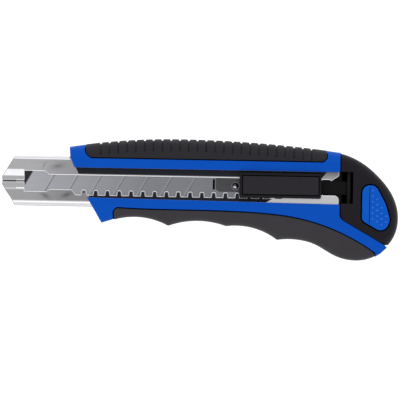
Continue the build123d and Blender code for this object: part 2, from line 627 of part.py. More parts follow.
def pull_bar():
    length = BAR_Y[1] - BAR_Y[0]
    return Pos(BAR_X, BAR_Y[0] + length / 2, BAR_Z) * Rot(90, 0, 0) * Cylinder(BAR_R, length)


def cap():
    start, end = CAP_CURVE[0], CAP_CURVE[-1]
    inner_x = start[0] - 1
    outline = make_face([Spline(*CAP_CURVE), Polyline(end, (inner_x, end[1]), (inner_x, start[1]), start)])
    shell = plate(outline - ahead_of_seam(SEAM_GAP), 0, HANDLE_T)
    rounded = [edge for edge in rim_edges(shell, lambda x, y: True) if edge.geom_type == GeomType.BSPLINE]
    shell = fillet(rounded, CAP_ROUND) - seam_groove()
    shell -= block(*RECESS, RECESS_FLOOR, HANDLE_T + 1)
    shell += block(*TONGUE) + block(*TONGUE_BASE)
    button = button_outline()
    shell -= plate(offset(button, BUTTON_GAP), COVER_T, HANDLE_T + 1)
    latch_y = (LATCH_Y[0] - 2 * LATCH_ROOM, LATCH_Y[1] + 2 * LATCH_ROOM)
    shell -= block(CAP_FRONT - 1, BUTTON_D[0][0] + 1, *latch_y, TRAY_Z[1], MAG_CEILING)
    shell -= block(CAP_FRONT - 1, TRAY_X[1], *TRAY_Y, *TRAY_Z)
    shell -= pull_bar() + screw_hole(TRAY_SCREW_X, RAIL_MID, TRAY_Z[0])
    parts["end_cap"] = shell
    parts["tray_screw"] = screw(TRAY_SCREW_X, RAIL_MID, TRAY_SCREW_L)
    parts["pull_bar"] = pull_bar()
    parts["cap_button"] = cap_button(button)
    x, y, radius, wire, turns = BUTTON_SPRING
    parts["cap_button_spring"] = helix(x, y, COVER_T, BUTTON_Z[0], radius, wire, turns)


def cap_button(outline):
    """Release button with its groove, its dots and the latch arm under the cap."""
    low, top = BUTTON_Z
    key = fillet(top_edges(plate(outline, low, top), top), BUTTON_EDGE)
    half, depth = BUTTON_GROOVE
    key -= block(GROOVE_X - half, GROOVE_X + half, *GROOVE_Y, top - depth, top + 1)
    key += block(LATCH_X[0], BUTTON_D[0][0] + 1, *LATCH_Y, low, low + LATCH_ARM)
    key += block(*LATCH_X, *LATCH_Y, low + LATCH_ARM, LATCH_TOP)
    inside = offset(outline, -DOT_MARGIN)
    for column in range(DOT_GRID[0]):
        for row in range(DOT_GRID[1]):
            x = DOT_START[0] + column * DOT_PITCH[0]
            y = DOT_START[1] + (row + 0.5 * (column % 2)) * DOT_PITCH[1]
            if inside.is_inside(Vector(x, y, 0)):
                key += post(x, y, DOT_R, top - 0.2, top + DOT_H)
    return key


def magazine():
    x0 = TRAY_X[0]
    y0, y1 = TRAY_Y
    z0, z1 = TRAY_Z
    inner_y = (y0 + TRAY_WALL, y1 - TRAY_WALL)
    tray = block(*TRAY_X, *TRAY_Y, *TRAY_Z)
    tray -= block(x0 + TRAY_WALL, TRAY_BLOCK, *inner_y, z0 + TRAY_FLOOR, z1 + 1)
    length, width, clearance = RETAINER
    lug_z = SPARE_Z + SPARE_COUNT * BLADE_T + clearance
    for start in RETAINER_X:
        tray += block(start, start + length, inner_y[0], inner_y[0] + width, lug_z, z1)
        tray += block(start, start + length, inner_y[1] - width, inner_y[1], lug_z, z1)
    tray -= post(TRAY_SCREW_X, RAIL_MID, SCREW_R, z0 - 1, TRAY_SCREW_L)
    parts["magazine_tray"] = tray

    follower_y = (BLADE_Y + FOLLOWER_MARGIN, BLADE_Y + BLADE_W - FOLLOWER_MARGIN)
    parts["magazine_follower"] = block(*FOLLOWER_X, *follower_y, SPARE_Z - FOLLOWER_T, SPARE_Z)
    floor = z0 + TRAY_FLOOR
    crest = SPARE_Z - FOLLOWER_T - BOW_FIT
    front, rear = BOW_X
    middle = (front + rear) / 2
    arc = ThreePointArc((front, floor + BOW_T), (middle, crest), (rear, floor + BOW_T))
    lower = ThreePointArc((front, floor), (middle, crest - BOW_T), (rear, floor))
    ends = [Line((x, floor), (x, floor + BOW_T)) for x in BOW_X]
    strip = Plane.XZ * make_face([arc, lower] + ends)
    parts["follower_spring"] = Pos(0, BOW_Y[1], 0) * extrude(strip, BOW_Y[1] - BOW_Y[0])


def main():
    handle()
    rail()
    lip_liners()
    blades()
    slider()
    cap()
    magazine()
    os.makedirs("parts", exist_ok=True)
    for name, shape in parts.items():
        export_step(shape, f"parts/{name}.step")
    print(len(parts), "nodes")


main()
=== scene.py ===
import json
import math

import bmesh
import bpy
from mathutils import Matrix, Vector

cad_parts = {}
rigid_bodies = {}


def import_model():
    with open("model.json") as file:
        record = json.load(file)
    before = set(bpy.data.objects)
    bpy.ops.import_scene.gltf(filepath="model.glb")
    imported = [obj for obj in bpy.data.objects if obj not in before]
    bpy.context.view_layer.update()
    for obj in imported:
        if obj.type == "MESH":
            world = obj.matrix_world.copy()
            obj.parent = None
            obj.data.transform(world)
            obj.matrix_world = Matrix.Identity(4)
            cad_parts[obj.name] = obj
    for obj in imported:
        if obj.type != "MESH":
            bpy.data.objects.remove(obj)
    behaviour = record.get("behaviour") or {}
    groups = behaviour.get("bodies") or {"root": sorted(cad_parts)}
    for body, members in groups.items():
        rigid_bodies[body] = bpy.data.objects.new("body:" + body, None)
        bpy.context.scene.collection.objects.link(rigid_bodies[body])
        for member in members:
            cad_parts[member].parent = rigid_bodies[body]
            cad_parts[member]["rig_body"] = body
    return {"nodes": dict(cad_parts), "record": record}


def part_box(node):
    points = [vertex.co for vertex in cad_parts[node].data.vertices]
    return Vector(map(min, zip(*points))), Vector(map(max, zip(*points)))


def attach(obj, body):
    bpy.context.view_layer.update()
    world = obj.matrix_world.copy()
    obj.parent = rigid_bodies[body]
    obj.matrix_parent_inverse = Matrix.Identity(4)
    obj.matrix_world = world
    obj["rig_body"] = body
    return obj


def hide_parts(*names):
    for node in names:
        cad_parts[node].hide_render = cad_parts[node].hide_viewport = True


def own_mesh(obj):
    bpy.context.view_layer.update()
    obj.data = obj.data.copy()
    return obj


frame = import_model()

MM = 0.001
WELD = 0.002 * MM                # vertices closer than this are one
FLAT_ANGLE = math.radians(0.4)   # faces that meet at less than this are one flat
SHARP_ANGLE = math.radians(32)   # edges over this are rounded, and split the shading
FOLD_ANGLE = math.radians(6)     # shallowest fold between two broad flats that stays crisp

CAMERA_HEIGHT = 4.0              # above the knife's front face
VIEW_WIDTH = 169.24 * MM         # what the picture's width covers at the front face
VIEW_CENTRE = (0.0, -0.59 * MM)
VIEW_TURN = math.radians(1.09)
SENSOR = 36.0
FLOOR_SIZE = 8.0
FLOOR_DROP = 0.2 * MM
FLOOR_GLOW = 0.85
SKY_STOPS = [(0.0, 0.95), (0.6, 0.88), (0.93, 0.64), (1.0, 0.6)]   # from the sides to overhead
SKY_BLUE = 1.02                  # the tent's blue against its red and green
# The tent's bright panels: tilt to +Y, inner and outer edge in degrees, and gain.
SKY_PANELS = [(24, 8, 15, 0.9), (-30, 13, 17, 0.9)]

# Places on the knife, in millimetres. A box is its limits along X, Y and Z, and a pair of pairs holds
# the limits that a soft band rises across and falls back across.
FOLD_WIDTH = 1.2                 # faces narrower than this aren't broad flats
LEDGES = (2.0, 20.0)             # Z of the core's two faces, seen in the shadow grooves
LEDGE_NEAR = 0.05                # edges this close to a ledge lie on it
LEDGE_FIT = 0.02                 # and faces this close
SHELL_REACH = ((-90, 90), (-30, 30))
RECESS = ((59.2, 64.8), (-1.1, 12.6), (15.5, 21.6))
TONGUE = ((51, 59.2), (-4, 17), (15.5, 19))
BUTTON_GROOVE = ((71.6, 72.0), (-10, 7), (22.1, 22.3))
DOT_TOPS = 22.55                 # Z above which the cap button's dots get a painted highlight
STUD_SHADE = ((10, 20), (5.4, 9.0), (16, 19))
# where the blade gets a painted shadow under the carrier's slot
CARRIER_SLOT = ((5.2, 6.3), (3.9, 8.4), (16.0, 17.4))

SCORE_FIRST = 9.95               # from the blade's point to its first score
SCORE_PITCH = 10.0
SCORE_WIDTH = 0.42
SCORE_SOFT = 0.06
SCORE_LEAN = math.tan(math.radians(30))
SCORE_HIGHLIGHT_LEAD = 0.75                 # the painted highlight beside each score starts this far ahead of it
SCORE_HIGHLIGHT_WIDTH = 0.5
BLADE_HANDLE_SHADE = [(-74, -22, 0.46), (-22, 12, 0.08)]   # painted shade towards the handle: first and last X, and darkening gained between

RAIL_FLATS = ((-2.1, -1.7), (15.2, 15.5))   # Y, between the rolled edges
RAIL_HANDLE_SHADE = (-74, -54, 0.2, 0.40)           # painted shade towards the handle: first and last X, and the darkening at each
LOWER_LIP_SHADE = (2.4, 3.2, 0.14, 0.0)      # the same along Y, for the painted shade on the lower lip
REAR_LIP_X, REAR_LIP_Y = (20, 30), (5, 9)   # the painted shade leaves the lower lip past the teeth
UPPER_CAST_X, UPPER_CAST_Y = (49, 50), (9.5, 12.3)   # the handle's shade on the upper lip's end
UPPER_CAST = 0.35
RAIL_SIDES = (16.7, 18.3)                   # Z, from the sides, darkened with painted shade, to the top
# painted shade inside the rail, seen through the window
RAIL_INSIDE = ((-90, 70), (-3.6, 16.1), (15.9, 17.79))
NOSE_RIM = ((-90, -78.0), (-10, 20), (10, 25))
NOSE_SLOPE = ((-85, -74.3), (8.3, 11.1), (18.4, 19.1))
RAIL_SHADE_PATCHES = [                             # patches of painted shade on the flats: X, Y, half length, half width and angle
    (-66.3, 12.9, 3.2, 0.6, 62), (-65.6, 0.1, 4.6, 2.0, -30), (-60.5, 12.6, 6.0, 2.4, 12),
    (-56.5, 0.6, 4.6, 1.8, 20),
]
SHADE_PATCH_DEPTH = 0.32
TOOTH_FIRST = -49.25
TOOTH_PITCH = 5.0
TOOTH_SPOT_HALF = (0.35, 0.55)              # from the middle of a tooth to the edge of its spot of painted shade
TOOTH_SPOT_X = ((-50.2, -50.0), (35, 36))
TOOTH_SPOT_Y = ((1.3, 1.5), (2.25, 2.4))
TOOTH_SPOT_DEPTH = 0.8

nodes = frame["nodes"]
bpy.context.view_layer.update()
scene = bpy.context.scene


# ---- node graph helpers -------------------------------------------------------
class Graph:
    """A material's node tree, with short calls for the nodes that this script uses."""

    def __init__(self, name):
        self.material = bpy.data.materials.new(name)
        self.material.use_nodes = True
        self.tree = self.material.node_tree
        self.shader = self.tree.nodes["Principled BSDF"]
        self.place = self.tree.nodes.new("ShaderNodeTexCoord").outputs["Object"]

    def node(self, kind, values=(), **settings):
        """New node with its settings, and with input values or links by name or number."""
        made = self.tree.nodes.new(kind)
        for key, value in settings.items():
            setattr(made, key, value)
        for key, value in dict(values).items():
            if isinstance(value, bpy.types.NodeSocket):
                self.tree.links.new(value, made.inputs[key])
            else:
                made.inputs[key].default_value = value
        return made

    def millimetres(self, stretch=(1, 1, 1), turn=0.0):
        """The piece's own coordinates in millimetres, stretched by a factor along each axis."""
        scale = [1 / (MM * factor) for factor in stretch]
        turned = self.node("ShaderNodeVectorRotate", {"Vector": self.place, "Angle": turn})
        return self.node("ShaderNodeMapping", {"Vector": turned.outputs[0], "Scale": scale}).outputs[0]

    def noise(self, vector, scale, detail=3.0, rough=0.55):
        """Cloudy noise from 0 to 1; a larger scale is finer."""
        values = {"Vector": vector, "Scale": scale, "Detail": detail, "Roughness": rough}
        return self.node("ShaderNodeTexNoise", values).outputs["Fac"]

    def cells(self, vector, scale):
        """Distance to the nearest of scattered points, for a pebbled skin."""
        values = {"Vector": vector, "Scale": scale, "Randomness": 1.0}
        return self.node("ShaderNodeTexVoronoi", values).outputs["Distance"]

    def remap(self, value, low, high, to_low=0.0, to_high=1.0, smooth=False):
        """The value carried from one range to another, and held at its ends."""
        kind = "SMOOTHSTEP" if smooth else "LINEAR"
        values = {"Value": value, 1: low, 2: high, 3: to_low, 4: to_high}
        return self.node("ShaderNodeMapRange", values, interpolation_type=kind, clamp=True).outputs[0]

    def maths(self, operation, first, second):
        return self.node("ShaderNodeMath", {0: first, 1: second}, operation=operation).outputs[0]

    def product(self, first, *others):
        for other in others:
            first = self.maths("MULTIPLY", first, other)
        return first

    def total(self, first, *others):
        for other in others:
            first = self.maths("ADD", first, other)
        return first

    def band(self, value, rise, fall, peak=1.0):
        """Rises from 0 to peak across one pair of limits and falls back across the other."""
        return self.product(self.remap(value, *rise, 0.0, peak), self.remap(value, *fall, 1.0, 0.0))

    def mix(self, share, first, second):
        """The first colour, with a share of the second."""
        made = self.node("ShaderNodeMix", data_type="RGBA")
        for number, value in ((0, share), (6, first), (7, second)):
            socket = made.inputs[number]
            if isinstance(value, bpy.types.NodeSocket):
                self.tree.links.new(value, socket)
            else:
                socket.default_value = value
        return made.outputs[2]

    def bump(self, height, depth_mm, strength, under=None):
        """Normal of a relief, laid over the relief under it."""
        values = {"Height": height, "Distance": depth_mm * MM, "Strength": strength}
        if under is not None:
            values["Normal"] = under
        return self.node("ShaderNodeBump", values).outputs[0]

    def edges(self, low, high):
        """1 on convex edges and 0 on flats."""
        point = self.node("ShaderNodeNewGeometry").outputs["Pointiness"]
        return self.remap(point, low, high, smooth=True)

    def hollows(self, low, high):
        """1 in concave folds and 0 on flats."""
        point = self.node("ShaderNodeNewGeometry").outputs["Pointiness"]
        return self.remap(point, low, high, 1.0, 0.0, smooth=True)

    def axes(self):
        """X, Y and Z in millimetres."""
        return self.node("ShaderNodeSeparateXYZ", {0: self.millimetres()}).outputs

    def within(self, limits, soft=0.02):
        """1 inside a box given in millimetres and 0 outside it."""
        share = 1.0
        for axis, (low, high) in zip(self.axes(), limits):
            inside = self.band(axis, (low - soft, low + soft), (high - soft, high + soft))
            share = self.product(inside, share)
        return share

    def oval_spot(self, x, y, length, width, angle):
        """Soft oval spot, 1 at its centre."""
        values = {
            "Vector": self.millimetres(), "Location": (x, y, 0),
            "Rotation": (0, 0, math.radians(angle)), "Scale": (length, width, 1000),
        }
        spot = self.node("ShaderNodeMapping", values, vector_type="TEXTURE").outputs[0]
        kind = "QUADRATIC_SPHERE"
        return self.node("ShaderNodeTexGradient", {"Vector": spot}, gradient_type=kind).outputs["Fac"]

    def stripes(self, start, low, high):
        """1 on the slanted lines that repeat along a blade, between low and high of each pitch."""
        x, y, _ = self.axes()
        upright = self.maths("SUBTRACT", x, self.maths("MULTIPLY", y, SCORE_LEAN))
        phase = self.maths("FLOORED_MODULO", self.maths("SUBTRACT", upright, start), SCORE_PITCH)
        rise = (low - SCORE_SOFT, low + SCORE_SOFT)
        return self.band(phase, rise, (high - SCORE_SOFT, high + SCORE_SOFT))

    def wire(self, **sockets):
        """Links or sets the shader's sockets; names use _ for a space."""
        for key, value in sockets.items():
            socket = self.shader.inputs[key.replace("_", " ")]
            if isinstance(value, bpy.types.NodeSocket):
                self.tree.links.new(value, socket)
            else:
                socket.default_value = value
        return self.material


def tint(colour, factor, lift=0.0):
    """The colour made brighter or darker by a factor, then lifted, with full alpha."""
    return tuple(min(1.0, part * factor + lift) for part in colour[:3]) + (1.0,)


# ---- materials ----------------------------------------------------------------
def moulded_plastic(name, colour, rough, gloss, grain_mm=0.006, scuffed=1.5, highlight_above=None):
    """Injection-moulded plastic: faint flow marks, spark-eroded grain and hairline scuffs, and a
    painted highlight on tops above a height where one is given.
    """
    graph = Graph(name)
    place = graph.millimetres()
    flow = graph.noise(graph.millimetres((9, 3, 3)), 0.35, 4.0)
    cloud = graph.noise(place, 0.12, 3.0)
    base = graph.mix(graph.remap(flow, 0.3, 0.7), tint(colour, 0.93), tint(colour, 1.05))
    base = graph.mix(graph.remap(cloud, 0.35, 0.65), base, tint(colour, 0.98))
    scratch = graph.noise(graph.millimetres((14, 0.35, 1), 0.35), 1.6, 2.0)
    base = graph.mix(graph.remap(scratch, 0.69, 0.74, 0.0, 0.35), base, tint(colour, scuffed, 0.012))
    if highlight_above:
        # painted highlight on everything above that height
        painted_highlight_tops = graph.remap(graph.axes()[2], highlight_above, highlight_above + 0.1, 0.0, 0.8)
        base = graph.mix(painted_highlight_tops, base, tint(colour, 1.4, 0.02))
    grain = graph.noise(place, 5.5, 2.0, 0.6)
    finish = graph.remap(graph.noise(place, 0.6, 4.0), 0.3, 0.7, rough - 0.06, rough + 0.07)
    normal = graph.bump(grain, grain_mm, 0.6)
    normal = graph.bump(scratch, 0.004, 0.4, normal)
    return graph.wire(Base_Color=base, Roughness=finish, Normal=normal, Specular_IOR_Level=gloss)


def rubber(name, colour):
    """Soft over-moulded rubber: a fine pebbled skin, with a painted highlight on its edges and painted
    shade in its folds.
    """
    graph = Graph(name)
    place = graph.millimetres()
    pebble = graph.cells(place, 3.2)
    fine = graph.noise(place, 7.0, 3.0, 0.6)
    cloud = graph.noise(place, 0.16, 4.0)
    base = graph.mix(graph.remap(cloud, 0.3, 0.7), tint(colour, 0.86), tint(colour, 1.14))
    base = graph.mix(graph.remap(fine, 0.35, 0.75, 0.0, 0.5), base, tint(colour, 1.5))
    # painted highlight on the convex edges and painted shade in the folds
    base = graph.mix(graph.product(graph.edges(0.51, 0.60), 0.35), base, tint(colour, 1.9))
    base = graph.mix(graph.product(graph.hollows(0.42, 0.49), 0.85), base, tint(colour, 0.12))
    finish = graph.remap(cloud, 0.3, 0.7, 0.62, 0.80)
    normal = graph.bump(pebble, 0.02, 0.5)
    normal = graph.bump(fine, 0.012, 0.6, normal)
    return graph.wire(
        Base_Color=base, Roughness=finish, Normal=normal, Specular_IOR_Level=0.2,
        Sheen_Weight=0.12, Sheen_Roughness=0.45, Sheen_Tint=(0.75, 0.78, 0.85, 1.0),
    )


def steel_base(graph, colour, grain, stain):
    """Rolling lines and cloudy stains: the base colour, the lines and the clouds."""
    lines = graph.noise(graph.millimetres(grain), 2.2, 4.0, 0.7)
    cloud = graph.noise(graph.millimetres((3, 1, 1)), 0.22, 5.0, 0.6)
    base = graph.mix(graph.remap(lines, 0.3, 0.7), tint(colour, 0.95), tint(colour, 1.04))
    base = graph.mix(graph.remap(cloud, 0.5, 0.8, 0.0, 1.0), base, tint(colour, 1 - stain))
    return base, lines, cloud


def steel_finish(graph, base, lines, cloud, rough):
    """Metal with that base colour, rougher along the rolling lines and in the clouds."""
    finish = graph.remap(lines, 0.25, 0.75, rough - 0.04, rough + 0.05)
    finish = graph.total(finish, graph.remap(cloud, 0.5, 0.8, 0.0, 0.05))
    relief = graph.bump(lines, 0.002, 0.5)
    return graph.wire(Base_Color=base, Roughness=finish, Normal=relief, Metallic=1.0)


def steel(name, colour, rough, grain=(40, 0.25, 1), stain=0.12, dark_box=None, darkening=1.0):
    """Bright steel for small parts, with painted shade inside a box."""
    graph = Graph(name)
    base, lines, cloud = steel_base(graph, colour, grain, stain)
    if dark_box:
        share = graph.product(graph.within(dark_box, 0.25), darkening)
        base = graph.mix(share, base, tint(colour, 0.1))
    return steel_finish(graph, base, lines, cloud, rough)


def rail_steel(name, colour, rough):
    """The rail's sheet, with painted shade: darker towards the handle, in patches at the window, on its
    sides, in its teeth and inside.
    """
    graph = Graph(name)
    base, lines, cloud = steel_base(graph, colour, (40, 0.25, 1), 0.06)
    x, y, z = graph.axes()
    # painted shade: darker towards the handle and along the lower lip, lifted past the teeth
    painted_shade = graph.total(graph.remap(x, *RAIL_HANDLE_SHADE, smooth=True), graph.remap(y, *LOWER_LIP_SHADE))
    rear_lip = graph.product(graph.remap(x, *REAR_LIP_X), graph.remap(y, *REAR_LIP_Y, 1.0, 0.0))
    painted_shade = graph.product(painted_shade, graph.remap(rear_lip, 0.0, 1.0, 1.0, 0.0))
    flats = graph.maths("SUBTRACT", graph.band(y, *RAIL_FLATS), graph.within(NOSE_SLOPE))
    cast = graph.product(
        graph.remap(x, *UPPER_CAST_X), graph.remap(y, *UPPER_CAST_Y, 0.0, UPPER_CAST))
    # patches of painted shade at the window
    shade_patches = [graph.product(graph.oval_spot(*spot), SHADE_PATCH_DEPTH) for spot in RAIL_SHADE_PATCHES]
    shade = graph.total(graph.product(flats, painted_shade), cast, *shade_patches)
    base = graph.mix(shade, base, (0.02, 0.021, 0.022, 1.0))
    # painted shade in the middle of each tooth on the lower lip
    off_tooth = graph.maths("PINGPONG", graph.maths("SUBTRACT", x, TOOTH_FIRST), TOOTH_PITCH / 2)
    spots = graph.product(
        graph.remap(off_tooth, *TOOTH_SPOT_HALF, 1.0, 0.0), graph.band(y, *TOOTH_SPOT_Y),
        graph.band(x, *TOOTH_SPOT_X, TOOTH_SPOT_DEPTH))
    base = graph.mix(spots, base, (0.03, 0.032, 0.038, 1.0))
    # painted shade on the rail's sides, and inside the rail below the window
    base = graph.mix(graph.remap(z, *RAIL_SIDES, 1.0, 0.0), base, (0.3, 0.3, 0.31, 1.0))
    base = graph.mix(graph.within(RAIL_INSIDE), base, (0.05, 0.05, 0.055, 1.0))
    return steel_finish(graph, base, lines, cloud, rough)


def blade_steel(name, node):
    """Ground strip steel, with painted shade darkening it towards the handle, painted shade in its
    scores, a painted highlight beside each, and a painted shadow under the carrier's slot.
    """
    graph = Graph(name)
    base, lines, cloud = steel_base(graph, BLADE, (60, 0.4, 1), 0.05)
    x, _, _ = graph.axes()
    # painted shade towards the handle
    painted_shade = graph.total(*(graph.remap(x, first, last, 0.0, gain) for first, last, gain in BLADE_HANDLE_SHADE))
    base = graph.mix(painted_shade, base, (0.01, 0.012, 0.016, 1.0))
    start = score_start(node)
    # painted shade in each score, and a painted highlight just ahead of it
    score = graph.stripes(start, 0.02, SCORE_WIDTH)
    score = graph.product(score, graph.remap(x, -60, -20, 0.5, 0.12))
    base = graph.mix(score, base, (0.05, 0.05, 0.055, 1.0))
    score_highlight = graph.stripes(start - SCORE_HIGHLIGHT_LEAD, 0.0, SCORE_HIGHLIGHT_WIDTH)
    base = graph.mix(graph.product(score_highlight, 0.22), base, tint(BLADE, 1.3))
    # painted shadow on the blade under the carrier's slot
    base = graph.mix(graph.within(CARRIER_SLOT), base, (0.002, 0.002, 0.002, 1.0))
    return steel_finish(graph, base, lines, cloud, 0.26)


def score_start(node):
    """Where the first score of a blade would cross Y 0, from the blade's own box."""
    low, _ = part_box(node)
    return low.x / MM + SCORE_FIRST - low.y / MM * SCORE_LEAN


BLADE = (0.61, 0.617, 0.652)
BLUE = (0.0, 0.060, 0.375)
MATERIALS = {
    "blue": moulded_plastic("blue_moulded_plastic", BLUE, 0.42, 0.08),
    # lighter blue for the rounded edges: a painted highlight
    "blue_round_highlight": moulded_plastic("blue_painted_highlight", tint(BLUE, 1.25, 0.012), 0.36, 0.14),
    "button_blue": moulded_plastic(
        "button_blue_plastic", (0.0, 0.074, 0.42), 0.36, 0.1, highlight_above=DOT_TOPS),
    "blue_shade": moulded_plastic("blue_shaded_plastic", (0.0, 0.004, 0.02), 0.6, 0.02, scuffed=1.2),
    # lighter blue for the cap button's rounded edges: a painted highlight
    "button_round_highlight": moulded_plastic("button_painted_highlight", (0.015, 0.11, 0.52), 0.32, 0.15),
    "black": moulded_plastic(
        "black_moulded_plastic", (0.0075, 0.0072, 0.0085), 0.46, 0.12, scuffed=4.0),
    # near black for the lip liners, which stand for the shade on the rail's lips inside the handle
    "liner": moulded_plastic("liner_painted_shade", (0.0105, 0.012, 0.018), 0.42, 0.2, scuffed=3.0),
    # lighter black for the rounded edges: a painted highlight
    "black_round_highlight": moulded_plastic(
        "black_painted_highlight", (0.014, 0.0135, 0.015), 0.4, 0.2, scuffed=3.0),
    "cap": moulded_plastic("cap_moulded_plastic", (0.0085, 0.0072, 0.0098), 0.46, 0.12, scuffed=4.0),
    # painted shade: near black in the cap's recess, and darker on its tongue down between the rail's
    # lips
    "cap_recess": moulded_plastic(
        "cap_recess_painted_shade", (0.0006, 0.0006, 0.0007), 0.7, 0.0, scuffed=2.0),
    "cap_tongue": moulded_plastic(
        "cap_tongue_painted_shade", (0.005, 0.0047, 0.005), 0.5, 0.08, scuffed=3.0),
    "panel": moulded_plastic(
        "slider_panel_plastic", (0.015, 0.0135, 0.0168), 0.52, 0.14, 0.01, scuffed=3.0),
    "spine": rubber("spine_rubber", (0.013, 0.012, 0.0145)),
    "finger": rubber("finger_rubber", (0.026, 0.024, 0.027)),
    "rail": rail_steel("rail_sheet_steel", (0.84, 0.84, 0.85), 0.17),
    # brighter steel for the rail's rounded edges, a painted highlight, dimmed by painted shade at the
    # nose's front
    "rail_round_highlight": steel("rail_painted_highlight", (0.93, 0.93, 0.94), 0.2, (1, 1, 1), 0.05, NOSE_RIM, 0.5),
    "blade": blade_steel("blade_steel", "blade"),
    "spare_blade": blade_steel("spare_blade_steel", "spare_blade_1"),
    "carrier": steel("carrier_steel", (0.29, 0.294, 0.318), 0.30),
    "clamp": steel("clamp_steel", (0.102, 0.102, 0.107), 0.42, (1, 0.4, 1)),
    "chrome": steel("screw_steel", (0.75, 0.75, 0.76), 0.16, (1, 1, 1)),
    "stud": steel("stud_steel", (0.85, 0.85, 0.86), 0.2, (1, 1, 1), dark_box=STUD_SHADE),
}


# ---- pieces ---------------------------------------------------------------------
def link(name, mesh):
    """A new object in the scene."""
    made = bpy.data.objects.new(name, mesh)
    scene.collection.objects.link(made)
    return made


def clean_copy(node, name):
    """The node's mesh in a new object, welded and with its flat faces whole."""
    mesh = nodes[node].data.copy()
    mesh.name = name
    for layer in ("custom_normal", "sharp_edge", "sharp_face"):
        if layer in mesh.attributes:
            mesh.attributes.remove(mesh.attributes[layer])
    made = bmesh.new()
    made.from_mesh(mesh)
    bmesh.ops.remove_doubles(made, verts=made.verts, dist=WELD)
    bmesh.ops.dissolve_limit(made, angle_limit=FLAT_ANGLE, verts=made.verts, edges=made.edges)
    made.to_mesh(mesh)
    made.free()
    mesh.materials.clear()
    return link(name, mesh)


def apply_modifiers(piece):
    """The piece's mesh with its modifiers worked in."""
    graph = bpy.context.evaluated_depsgraph_get()
    mesh = bpy.data.meshes.new_from_object(piece.evaluated_get(graph))
    old = piece.data
    piece.modifiers.clear()
    piece.data = mesh
    bpy.data.meshes.remove(old)


def finish_piece(piece, node):
    """Rides the piece on its node's body and hides the node."""
    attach(piece, nodes[node]["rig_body"])
    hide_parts(node)


def mark_outer_edges(mesh):
    """Gives weight 1 to the sharp convex edges, except on the ledges down in the shadow grooves."""
    made = bmesh.new()
    made.from_mesh(mesh)
    weight = made.edges.layers.float.new("bevel_weight_edge")
    for edge in made.edges:
        heights = [vert.co.z / MM for vert in edge.verts]
        on_ledge = any(
            all(abs(height - ledge) < LEDGE_NEAR for height in heights) for ledge in LEDGES)
        sharp = len(edge.link_faces) == 2 and edge.calc_face_angle_signed() > SHARP_ANGLE
        edge[weight] = 1.0 if sharp and not on_ledge else 0.0
    made.to_mesh(mesh)
    made.free()


def face_width(face):
    """A face's area over its longest edge."""
    return face.calc_area() / max(edge.calc_length() for edge in face.edges)


def sharpen_folds(mesh):
    """Where two broad flats meet in a fold, marks every edge of the smaller one as sharp."""
    made = bmesh.new()
    made.from_mesh(mesh)
    for edge in list(made.edges):
        if len(edge.link_faces) == 2 and edge.calc_face_angle() > FOLD_ANGLE:
            if min(face_width(face) for face in edge.link_faces) > FOLD_WIDTH * MM:
                for border in min(edge.link_faces, key=lambda face: face.calc_area()).edges:
                    border.smooth = False
    made.to_mesh(mesh)
    made.free()


def paint(piece, box, material):
    """Gives another material to the faces whose centre lies in a box given in millimetres."""
    piece.data.materials.append(MATERIALS[material])
    for face in piece.data.polygons:
        if all(low < part / MM < high for part, (low, high) in zip(face.center, box)):
            face.material_index = len(piece.data.materials) - 1


def rounded_piece(node, material, radius_mm, edge=None, segments=3, clamp=True, folds=False):
    """A moulded or stamped piece: the node's shape with its sharp outer edges rounded, and the rounds
    given the edge material, a painted highlight, where one is given.
    """
    piece = clean_copy(node, f"{node}_finished")
    piece.data.materials.append(MATERIALS[material])
    piece.data.materials.append(MATERIALS[edge or material])
    mark_outer_edges(piece.data)
    bevel = piece.modifiers.new("edges", "BEVEL")
    bevel.width = radius_mm * MM
    bevel.segments = segments
    bevel.limit_method = "WEIGHT"
    bevel.use_clamp_overlap = clamp
    # the rounds take the second material, the edge's painted highlight where one is given
    bevel.material = 1
    apply_modifiers(piece)
    piece.data.shade_smooth()
    piece.data.set_sharp_from_angle(angle=SHARP_ANGLE)
    if folds:
        sharpen_folds(piece.data)
    weighted = piece.modifiers.new("flat_faces", "WEIGHTED_NORMAL")
    weighted.keep_sharp = True
    finish_piece(piece, node)
    return piece


def soft_piece(node, material, voxel_mm, rounds):
    """A rubber piece: the node's shape remeshed finely and relaxed, so that its edges are soft."""
    piece = clean_copy(node, f"{node}_finished")
    remesh = piece.modifiers.new("skin", "REMESH")
    remesh.mode = "VOXEL"
    remesh.voxel_size = voxel_mm * MM
    relax = piece.modifiers.new("relax", "SMOOTH")
    relax.factor = 0.5
    relax.iterations = rounds
    apply_modifiers(piece)
    piece.data.shade_smooth()
    piece.data.materials.clear()
    piece.data.materials.append(MATERIALS[material])
    finish_piece(piece, node)


def spring_piece(node, material):
    """A spring: the node's mesh, smooth-shaded, as a piece of its own on the node's body."""
    piece = clean_copy(node, f"{node}_finished")
    piece.data.materials.append(MATERIALS[material])
    piece.data.shade_smooth()
    piece.data.set_sharp_from_angle(angle=SHARP_ANGLE)
    finish_piece(piece, node)
    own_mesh(piece)


body = rounded_piece("body_shell", "blue", 0.35, "blue_round_highlight")
for ledge in LEDGES:
    paint(body, (*SHELL_REACH, (ledge - LEDGE_FIT, ledge + LEDGE_FIT)), "blue_shade")
soft_piece("spine_grip", "spine", 0.3, 1)
soft_piece("finger_grip", "finger", 0.35, 4)
rounded_piece("blade_rail", "rail", 0.3, "rail_round_highlight", 2, clamp=False, folds=True)
